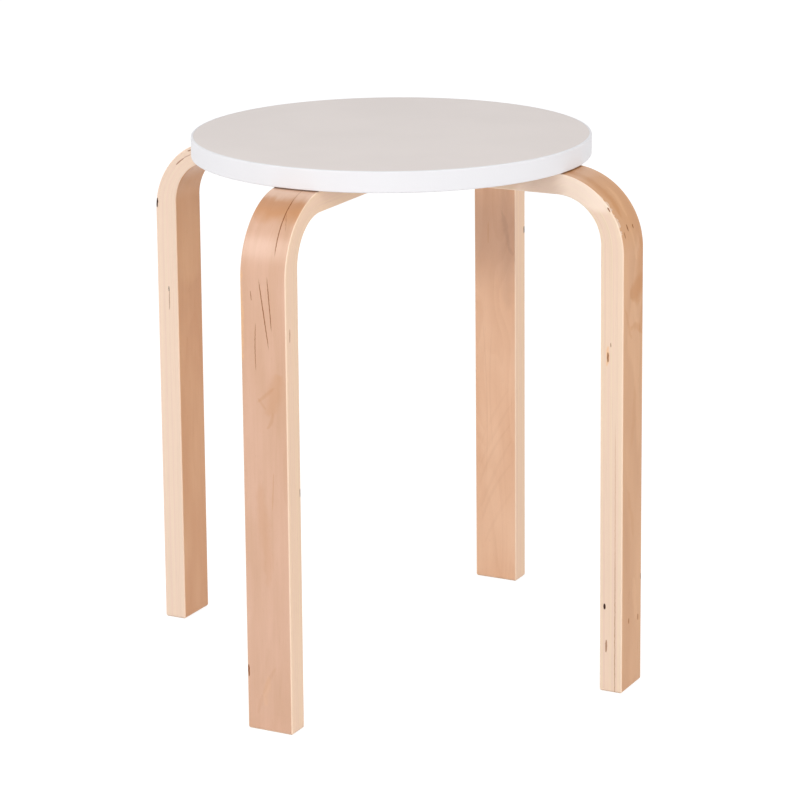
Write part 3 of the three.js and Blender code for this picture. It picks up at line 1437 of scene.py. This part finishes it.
def front_marks() -> tuple[GrainMark, ...]:
    """Lists the front leg's marks: three long cracks down its outer face, the soft figure under them, and a
    band of stain and painted shade over the bend.

    Returns:
        The marks, in the order in which they are laid on.
    """
    outer, side = LegFace.OUTER, LegFace.RIGHT_SIDE
    crack, figure, stain, gold = MarkKind.CRACK, MarkKind.FIGURE, MarkKind.STAIN, MarkKind.GOLD
    return (
        # A dark band over the top of the bend: partly the veneer's stain, partly painted shade where the bend
        # turns up under the seat.
        *strokes(outer, stain, (434, -46, 434, 46, 44, 0.54)),
        *strokes(outer, MarkKind.SHADE, (440, -46, 440, 46, 30, 0.16)),
        *strokes(outer, stain, (452, -2, 452, 46, 18, 0.1)),
        *strokes(outer, gold, (386, -20, 298, -19.4, 6, 0.5)),
        *strokes(outer, stain, (300, 14, 262, 4, 20, 0.16), (210, -6, 120, 2, 16, 0.12)),
        *strokes(
            outer, crack,
            (462, 6.4, 428, 7.9, 1.1, 0.6), (446, 7.3, 389, 9.4, 1.5, 0.9), (428, 9, 420, 10.4, 0.8, 0.4),
            (424, 10.6, 416, 12.2, 0.8, 0.4), (418, 12.2, 411, 13.6, 0.8, 0.35),
            (374, -3.8, 315, 4.8, 1.3, 0.95), (376, 3.8, 330, 7.4, 1.2, 0.95),
            (338, -6.7, 297, -7, 1, 0.85, 0.7), (362.5, -10.9, 354, -10.1, 1.2, 0.7),
        ),
        *strokes(
            outer, figure,
            (287, 9.6, 273, -6.6, 4.5, 0.35), (277, -6.2, 268, 1.2, 3.8, 0.3),
            (267, 7.6, 252, 1.6, 4.5, 0.35, -1.4), (219, 7.2, 185, 5.4, 2, 0.4),
            (56, 6.6, 30, -6.2, 5, 0.18, 1), (32, -6, 13, -11.4, 5, 0.16),
        ),
        *strokes(outer, gold, (48, -1, 20, -4, 9, 0.14)),
        *strokes(outer, crack, (55, -18.9, 44, -18.6, 2.2, 0.95, 0, 0.5)),
        *strokes(side, crack, (334, 6, 322, 5.8, 1.5, 0.8)),
        *strokes(side, MarkKind.FLECK, (202, 18.4, 194, 18.4, 1.8, 0.85)),
    )


def right_marks() -> tuple[GrainMark, ...]:
    """Lists the right leg's marks: dark drifts and specks on the bend, flecks down its left side, and painted
    light and painted shade on that side near the seat.

    Returns:
        The marks, in the order in which they are laid on.
    """
    outer, side = LegFace.OUTER, LegFace.LEFT_SIDE
    crack, stain, gold = MarkKind.CRACK, MarkKind.STAIN, MarkKind.GOLD
    return (
        *strokes(outer, stain, (482, 0, 386, 1, 46, 0.16), (470, -8, 398, -8.6, 14, 0.5, 0, 0.15)),
        *strokes(outer, gold, (430, 4, 398, 2, 9, 0.22, 0, 0.1)),
        *strokes(
            outer, stain,
            (382, 18, 322, 9, 24, 0.45, 0, 0.15), (346, 26, 333, -9, 24, 0.68, 0, 0.3),
            (327, 20, 298, 14, 14, 0.38, 0, 0.15),
        ),
        *strokes(outer, gold, (392, -2, 362, 8, 7, 0.2, 0, 0.1), (330, 0, 306, 8, 11, 0.16, 0, 0.1)),
        *strokes(
            outer, stain,
            (328, -18, 298, -2, 8, 0.26, 0, 0.1), (309, -6, 300, 21, 8, 0.34, -2, 0.2),
            (262, 6, 206, -2, 9, 0.18, 0, 0.4), (176, -10, 128, 4, 8, 0.2, 0, 0.4),
        ),
        *strokes(outer, gold, (96, 2, 56, 10, 10, 0.16, 0, 0.4)),
        *strokes(
            outer, crack,
            (394, -5.6, 387.5, -5, 2.4, 1), (392, 5.2, 388, 5.2, 2.6, 0.95),
            (389, -13.6, 383, -13.2, 2, 0.8), (94, 18.5, 88, 18.5, 2.6, 0.8),
            (60, 13, 54, 13.4, 2.6, 0.8), (62, -6, 57, -6, 2.6, 0.7),
        ),
        # Painted light over the left side near the seat, lifting its shade.
        *strokes(side, MarkKind.PALE, (482, 10, 403, 10, 60, 0.76)),
        # Painted shade: a slanted contact shadow over the arm's side under the seat.
        *strokes(side, MarkKind.SHADE, (542, -40, 387, 60, 28, 0.3)),
        *strokes(side, crack, (412, 0.9, 407, 1.1, 1.5, 0.95, 0, 0.4), (298.5, 10.8, 294.5, 10.8, 1.5, 0.7)),
        *strokes(side, gold, (296, 13, 278, 13, 5, 0.7)),
        *strokes(side, crack, (290.5, 13.3, 281.5, 13.3, 2.2, 0.85, 0, 0.5)),
        *strokes(side, MarkKind.FLECK, (77, 15.6, 71.5, 15.5, 2.6, 1, 0, 0.5)),
        *strokes(side, crack, (46, 14, 34, 14, 2.2, 0.7, 0, 0.5)),
        *strokes(side, MarkKind.FIGURE, (240, 6.4, -30, 6.2, 1.3, 0.45, 0, 0.5)),
        *strokes(side, crack, (130, 6.3, -40, 6.2, 1, 0.35, 0, 0.5)),
    )


def back_marks() -> tuple[GrainMark, ...]:
    """Lists the back leg's marks: a dusky drift down its inner face, partly painted shade under the seat, and
    one fleck on its left side.

    Returns:
        The marks, in the order in which they are laid on.
    """
    inner, outer, fleck = LegFace.INNER, LegFace.OUTER, MarkKind.FLECK
    return (
        # Painted shade where the seat's shade falls over the upper inner face, mixed with the wood's own
        # dusky streaks.
        *strokes(
            inner, MarkKind.SHADE,
            (322, -50, 322, 50, 124, 0.34, 0, 0.1), (400, -10, 250, -13, 24, 0.14, 0, 0),
            (346, -7, 306, -17, 7, 0.22, -1),
        ),
        *strokes(
            inner, MarkKind.FIGURE,
            (336, 6.4, 314, 6.8, 2.2, 0.4), (250, 13, 90, 10, 2, 0.14, 3), (240, 3, 120, 2, 2, 0.12, -3),
            (120, 17, 186, -16, 4, 0.08, 3), (101, 18, 172, -18, 4.5, 0.11, 2),
            (86, 17, 153, -18, 4, 0.12, 4), (64, 16, 138, -18, 5, 0.1, 2),
            (51, 15, 114, -17, 4.5, 0.11, 4), (31, 12, 88, -18, 5, 0.08, 2),
        ),
        *strokes(LegFace.LEFT_SIDE, fleck, (330, 2.2, 323, 2.2, 2.8, 0.9, 0, 0.5)),
        *arches(outer, 96, (17, 15, 19, 16, 18, 15, 14), 3, 150, 0.24),
        *strokes(outer, MarkKind.STAIN, (420, -14, 330, -4, 14, 0.2)),
        *strokes(outer, fleck, (352, 9, 345, 9.2, 1.8, 0.7, 0, 0.4)),
    )


def left_marks() -> tuple[GrainMark, ...]:
    """Lists the left leg's marks: a slanted stroke over the bend, a few flecks on its right side, and painted
    shade and painted warm light on its inner face.

    Returns:
        The marks, in the order in which they are laid on.
    """
    side, inner, outer, crack = LegFace.RIGHT_SIDE, LegFace.INNER, LegFace.OUTER, MarkKind.CRACK
    return (
        *strokes(
            side, crack,
            (413, 6.6, 424, 7.1, 2.2, 0.72), (422.5, 6.9, 431.5, 7.7, 1.8, 0.45),
            (437.5, 3.2, 433.5, 3.4, 2, 0.9),
        ),
        *strokes(
            side, MarkKind.FLECK, (380, 1.2, 371, 1.2, 2.6, 1, 0, 0.5), (303, 11.2, 298, 11.2, 1.5, 0.9)
        ),
        *strokes(side, crack, (300, 11.6, 281, 11.3, 1.5, 0.6)),
        # Painted shade below the bend, where the seat's shade falls; it also dulls the bend's reflection.
        *strokes(inner, MarkKind.STAIN, (404, -46, 404, 46, 44, 0.85)),
        # Painted warm light over the upper inner face, standing in for light bounced between the wooden
        # parts.
        *strokes(inner, MarkKind.GOLD, (432, 0, 296, 0, 80, 0.24)),
        *arches(outer, 210, (14, 17, 15, 16, 14, 17), -4, 130, 0.22),
        *strokes(outer, MarkKind.STAIN, (150, -12, 60, -6, 13, 0.25)),
        *strokes(outer, crack, (128, 7, 119, 7.4, 1.6, 0.7)),
    )


def leg_grain(place: LegPlace) -> LegGrain:
    """Gives a leg its own veneers: those of the left and right legs are a little browner.

    Args:
        place: the leg's place.

    Returns:
        Its veneers and marks.
    """
    # The eased-edge shares keep the pale wood and painted highlight off edges that face away from the light.
    grains = {
        LegPlace.FRONT: LegGrain(
            seed=11.0,
            face_light=tone(227, 184, 160),
            face_dark=tone(204, 159, 126),
            side=tone(240, 207, 174),
            side_pink=tone(238, 202, 175),
            figure_bands=6.0,
            figure_strength=0.12,
            marks=front_marks() + seam_painted_light_and_shade(0.24, 0.5),
            eased_left=0.15,
        ),
        LegPlace.RIGHT: LegGrain(
            seed=27.0,
            face_light=tone(216, 160, 109),
            face_dark=tone(198, 138, 84),
            side=tone(239, 214, 187),
            side_pink=tone(236, 206, 186),
            figure_bands=5.0,
            figure_strength=0.4,
            marks=right_marks() + seam_painted_light_and_shade(0.08, 0.5),
            torn=TornEdge(side=-1.0, start=368 * MM, end=432 * MM, reach=4.2 * MM),
            eased_right=0.2,
        ),
        LegPlace.BACK: LegGrain(
            seed=43.0,
            face_light=tone(243, 200, 167),
            face_dark=tone(227, 178, 142),
            side=tone(240, 202, 165),
            side_pink=tone(236, 195, 165),
            figure_bands=14.0,
            figure_strength=0.2,
            marks=back_marks() + seam_painted_light_and_shade(0.16, 0.3),
            eased_right=0.2,
        ),
        LegPlace.LEFT: LegGrain(
            seed=58.0,
            face_light=tone(219, 166, 121),
            face_dark=tone(203, 142, 94),
            side=tone(242, 216, 193),
            side_pink=tone(240, 211, 191),
            figure_bands=7.0,
            figure_strength=0.14,
            marks=left_marks() + seam_painted_light_and_shade(0.16, 0.3),
        ),
    }
    return grains[place]


# Fasteners


@dataclass
class Bolt:
    """Bolt with a flat round head and a hexagon socket, standing head down."""

    name: str
    node: str
    centre: Vector
    low: float
    high: float
    head_radius: float
    washer_top: float
    head_height: float = 3.4 * MM
    head_rounding: float = 1 * MM
    thread_radius: float = 3 * MM
    root_depth: float = 0.55 * MM
    pitch: float = 1 * MM
    wave_gain: float = 1.25
    wave_cut: float = 0.125
    plain_length: float = 4 * MM
    tip_chamfer: float = 0.8 * MM
    socket_radius: float = 2.3 * MM
    socket_depth: float = 2.2 * MM
    socket_cone: float = 0.4 * MM
    socket_ease: float = 0.15 * MM
    segments: int = 36
    rows_a_pitch: int = 6
    arc_steps: int = 5

    @classmethod
    def from_frame(cls, place: LegPlace, number: int) -> "Bolt":
        """Reads a bolt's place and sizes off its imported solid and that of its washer.

        Args:
            place: the leg that it holds.
            number: its number along the arm.

        Returns:
            The bolt.
        """
        node = f"bolt_{place.word}_{number}"
        low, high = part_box(node)
        washer_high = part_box(f"washer_{place.word}_{number}")[1]
        return cls(
            name=f"{place.word}_bolt_{number}",
            node=node,
            centre=(low + high) / 2,
            low=low.z,
            high=high.z,
            head_radius=(high.x - low.x) / 2,
            washer_top=washer_high.z,
        )

    def _socket_rings(self, angle: Array) -> list[Ring]:
        """Lists the rings of the hexagon socket, from the middle of its floor to its mouth.

        A hexagon's radius at an angle is its flat's distance over the cosine of the angle from the
        middle of the nearest flat.

        Args:
            angle: the ring's directions.

        Returns:
            The rings.
        """
        sixth = math.pi / 3
        from_flat = np.mod(angle, sixth) - sixth / 2
        hexagon = self.socket_radius * math.cos(sixth / 2) / np.cos(from_flat)
        floor = self.low + self.socket_depth
        return [
            (np.zeros_like(angle), floor + self.socket_cone),
            (hexagon, floor),
            (hexagon, self.low + self.socket_ease),
            (hexagon + self.socket_ease, self.low),
        ]

    def _thread_rings(self, angle: Array) -> list[Ring]:
        """Lists the rings of the shank: plain under the head, then threaded, then the chamfered tip.

        The thread's depth is a wave of the height in pitches less the angle in turns: none on the
        crest, full at the root, both a little flattened. It fades in over one pitch above the plain
        length.

        Args:
            angle: the ring's directions.

        Returns:
            The rings.
        """
        start = self.low + self.head_height
        end = self.high - self.tip_chamfer
        thread_start = start + self.plain_length
        count = int(round((end - thread_start) / self.pitch * self.rows_a_pitch))
        heights = np.linspace(thread_start, end, count + 1)
        turns = (heights[:, None] - thread_start) / self.pitch - angle[None, :] / (2 * np.pi)
        wave = np.abs(np.mod(turns, 1) * 2 - 1)
        cut = np.clip(wave * self.wave_gain - self.wave_cut, 0, 1)
        fade = np.clip((heights - thread_start) / self.pitch, 0, 1)[:, None]
        radii = self.thread_radius - self.root_depth * fade * cut
        even = np.ones_like(angle)
        tip = (self.thread_radius - self.tip_chamfer) * even, self.high
        return [(self.thread_radius * even, start), *zip(radii, heights), tip, (0 * even, self.high)]

    def build(self) -> Piece:
        """Makes the bolt: socket, head, shank and tip as one stack of rings.

        Returns:
            The bolt's object.
        """
        angle = np.arange(self.segments) * (2 * np.pi / self.segments)
        even = np.ones_like(angle)
        ease = self.head_rounding
        head = corner_arc((self.head_radius - ease, self.low + ease), ease, -90, self.arc_steps)
        head.append((self.head_radius, self.low + self.head_height))
        rings = self._socket_rings(angle)
        rings += [(radius * even, height) for radius, height in head]
        rings += self._thread_rings(angle)
        radius = np.stack([ring for ring, _ in rings])
        height = np.array([level for _, level in rings])
        return crisp_normals(add_object(self.name, turned_mesh(self.name, radius, height, self.centre)))


@dataclass
class Washer:
    """Flat washer between a bolt's head and the wood."""

    name: str
    node: str
    centre: Vector
    low: float
    high: float
    radius: float
    hole_radius: float = 3.3 * MM
    ease: float = 0.2 * MM
    segments: int = 64
    arc_steps: int = 3

    @classmethod
    def from_frame(cls, place: LegPlace, number: int) -> "Washer":
        """Reads a washer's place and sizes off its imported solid.

        Args:
            place: the leg that it holds.
            number: its number along the arm.

        Returns:
            The washer.
        """
        node = f"washer_{place.word}_{number}"
        low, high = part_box(node)
        name = f"{place.word}_washer_{number}"
        return cls(name, node, (low + high) / 2, low=low.z, high=high.z, radius=(high.x - low.x) / 2)

    def build(self) -> Piece:
        """Makes the washer: a looped profile with its outer corners eased.

        Returns:
            The washer's object.
        """
        side = rounded_side(self.radius, self.low, self.high, self.ease, self.arc_steps)
        profile = [(self.hole_radius, self.low), *side, (self.hole_radius, self.high)]
        mesh = turned_mesh(self.name, *round_profile(profile, self.segments), self.centre, looped=True)
        return crisp_normals(add_object(self.name, mesh))


# The whole stool


@dataclass
class Stool:
    """The seat, its four legs and what holds them together."""

    seat: Seat
    legs: dict[LegPlace, BentLeg]
    bolts: dict[LegPlace, list[Bolt]]
    washers: list[Washer]

    @classmethod
    def from_frame(cls) -> "Stool":
        """Reads every sub-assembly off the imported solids.

        Returns:
            The stool.
        """
        numbers = FASTENER_NUMBERS
        return cls(
            seat=Seat.from_frame(),
            legs={place: BentLeg.from_frame(place) for place in LegPlace},
            bolts={place: [Bolt.from_frame(place, number) for number in numbers] for place in LegPlace},
            washers=[Washer.from_frame(place, number) for place in LegPlace for number in numbers],
        )

    def build(self, nodes: dict[str, Piece]) -> None:
        """Builds and dresses every piece.

        Args:
            nodes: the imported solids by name, some of which stay as they are under a new finish.
        """
        self.seat.dress()
        for place, leg in self.legs.items():
            material = BentwoodFinish().material(f"{place.word}_leg_wood", leg_grain(place))
            fit_out(leg.build(self.bolts[place]), material, [f"leg_{place.word}"])
        zinc = PlatedFinish(tone(202, 204, 206), tone(188, 191, 196))
        bolt_material = zinc.material("bolt_zinc")
        washer_material = zinc.material("washer_zinc")
        for bolts in self.bolts.values():
            for bolt in bolts:
                fit_out(bolt.build(), bolt_material, [bolt.node])
        for washer in self.washers:
            fit_out(washer.build(), washer_material, [washer.node])
        self._dress_hidden(nodes)

    def _dress_hidden(self, nodes: dict[str, Piece]) -> None:
        """Gives the board and the inserts, which stay as packed, their own finishes.

        Args:
            nodes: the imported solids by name.
        """
        yellow = PlatedFinish(tone(214, 190, 120), tone(196, 178, 128))
        insert_material = yellow.material("insert_yellow_zinc")
        board_material = BoardFinish().material("pressed_board")
        for name, node in nodes.items():
            if name.startswith("insert_"):
                dress_node(node, insert_material)
            elif name == "seat_core":
                dress_node(node, board_material)


def dress_node(node: Piece, material: Material) -> None:
    """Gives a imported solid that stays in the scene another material.

    Args:
        node: the solid's object.
        material: the material.
    """
    for material_slot in node.material_slots:
        material_slot.material = material
    if not node.material_slots:
        node.data.materials.append(material)
    LOG.info("%s: kept, in %s", node.name, material.name)


# Studio


@dataclass(frozen=True)
class Softbox:
    """Large soft lamp, placed by its direction from the stool, with its angles in degrees."""

    name: str
    azimuth: float
    elevation: float
    distance: float
    size: Pair
    level: float

    def build(self, target: Vector) -> None:
        """Adds the lamp.

        A small lamp of power P at distance d lights a surface that faces it as brightly as P over the
        square of pi times d, where 1 shows a colour as it is written.

        Args:
            target: the point that the lamp faces.
        """
        away = direction(math.radians(self.azimuth), math.radians(self.elevation))
        data = bpy.data.lights.new(self.name, "AREA")
        data.shape = "RECTANGLE"
        data.size, data.size_y = self.size
        data.energy = self.level * (math.pi * self.distance) ** 2
        lamp = add_object(self.name, data)
        lamp.location = target + away * self.distance
        lamp.rotation_euler = away.to_track_quat("Z", "Y").to_euler()
        lamp.visible_camera = False


@dataclass(frozen=True)
class PhotoCamera:
    """Long lens a little above the seat, turned so that the front and right legs lead."""

    azimuth: float = 27.39
    elevation: float = 15.64
    roll: float = -0.52
    distance: float = 2596.1 * MM
    aim_side: float = 5.2 * MM
    aim_height: float = 220.7 * MM
    lens: float = 138.47
    sensor: float = 36.0

    def build(self) -> None:
        """Adds the camera and makes it the scene's own."""
        azimuth, elevation, roll = (math.radians(a) for a in (self.azimuth, self.elevation, self.roll))
        back = direction(azimuth, elevation)
        level_right = Vector((math.cos(azimuth), math.sin(azimuth), 0.0))
        level_up = back.cross(level_right)
        right = level_right * math.cos(roll) + level_up * math.sin(roll)
        up = level_up * math.cos(roll) - level_right * math.sin(roll)
        eye = Vector((0.0, 0.0, self.aim_height)) + back * self.distance + level_right * self.aim_side
        data = bpy.data.cameras.new("camera")
        data.lens = self.lens
        data.sensor_width = self.sensor
        camera = add_object("camera", data)
        turn = Matrix((right, up, back)).transposed().to_4x4()
        camera.matrix_world = Matrix.Translation(eye) @ turn
        bpy.context.scene.camera = camera


@dataclass(frozen=True)
class Studio:
    """White sweep under soft light, the camera, and the plain surroundings."""

    target_height: float = 0.25
    floor_half: float = 16.0
    floor_cells: int = 8
    floor_colour: Colour = (0.8, 0.8, 0.8)
    seen_floor_glow: float = 0.86
    seen_floor_colour: Colour = (0.3, 0.3, 0.3)
    light_colour: Colour = (1.0, 1.0, 1.0)
    horizon: float = 0.96
    zenith: float = 0.53
    backdrop: float = 1.0
    camera: PhotoCamera = PhotoCamera()
    lamps: tuple[Softbox, ...] = (
        Softbox("left_front", azimuth=-34, elevation=29, distance=2.6, size=(0.6, 1.1), level=0.166),
        Softbox("front", azimuth=12, elevation=14, distance=3.2, size=(1.6, 1.2), level=0.070),
        Softbox("right_front", azimuth=62, elevation=18, distance=3.0, size=(1.8, 1.6), level=0.19),
        Softbox("front_top", azimuth=20, elevation=62, distance=1.6, size=(1.0, 0.6), level=0.065),
    )

    def build(self) -> None:
        """Adds the floor, the surroundings, the lamps and the camera."""
        self._floor()
        self._world()
        for lamp in self.lamps:
            lamp.build(Vector((0.0, 0.0, self.target_height)))
        self.camera.build()
        bpy.context.scene.view_settings.view_transform = "Standard"

    def _floor(self) -> None:
        """Adds a wide level floor, an even grid of squares."""
        side = np.linspace(-self.floor_half, self.floor_half, self.floor_cells + 1)
        x, y = np.meshgrid(side, side)
        points = np.stack([x, y, np.zeros_like(x)], axis=-1).reshape(-1, 3)
        count = self.floor_cells + 1
        corner = (np.arange(self.floor_cells)[:, None] * count + np.arange(self.floor_cells)).ravel()
        faces = np.stack([corner, corner + 1, corner + count + 1, corner + count], axis=1)
        mesh = bpy.data.meshes.new("floor")
        mesh.from_pydata(points.tolist(), [], faces.tolist())
        mesh.materials.append(self._floor_material())
        floor = add_object("floor", mesh)

    def _floor_material(self) -> Material:
        """Makes the floor: matt white in the light it throws back, and where seen a white under shadow.

        Returns:
            The material.
        """
        shader = Shader("white_floor")
        plain = shader.add("ShaderNodeBsdfDiffuse", {"Color": opaque(self.floor_colour)})
        shaded = shader.add("ShaderNodeBsdfDiffuse", {"Color": opaque(self.seen_floor_colour)})
        glow = shader.add("ShaderNodeEmission", {"Strength": self.seen_floor_glow})
        white = shader.add("ShaderNodeAddShader", {0: shaded.outputs[0], 1: glow.outputs[0]})
        shown = {0: shader.seen(), 1: plain.outputs[0], 2: white.outputs[0]}
        look = shader.add("ShaderNodeMixShader", shown)
        shader.add("ShaderNodeOutputMaterial", {"Surface": look.outputs[0]})
        return shader.material

    def _world(self) -> None:
        """Surrounds the stool with soft light, and with plain white where it is seen."""
        world = bpy.data.worlds.new("studio")
        world.use_nodes = True
        nodes = Nodes(world.node_tree)
        height = nodes.split(nodes.add("ShaderNodeTexCoord", {}).outputs["Generated"])[2]
        fall = {"Value": height, "To Min": self.horizon, "To Max": self.zenith}
        levels = nodes.add("ShaderNodeMapRange", fall).outputs[0], self.backdrop
        colour = opaque(self.light_colour)
        looks = [nodes.add("ShaderNodeBackground", {"Color": colour, "Strength": level}) for level in levels]
        light, white = (look.outputs[0] for look in looks)
        shown = nodes.add("ShaderNodeMixShader", {0: nodes.seen(), 1: light, 2: white})
        nodes.add("ShaderNodeOutputWorld", {0: shown.outputs[0]})
        bpy.context.scene.world = world


def main() -> None:
    """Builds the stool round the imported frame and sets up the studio."""
    logging.basicConfig(level=logging.INFO, format="%(name)s: %(message)s")
    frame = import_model()
    Stool.from_frame().build(frame["nodes"])
    Studio().build()


if __name__ == "__main__":
    main()
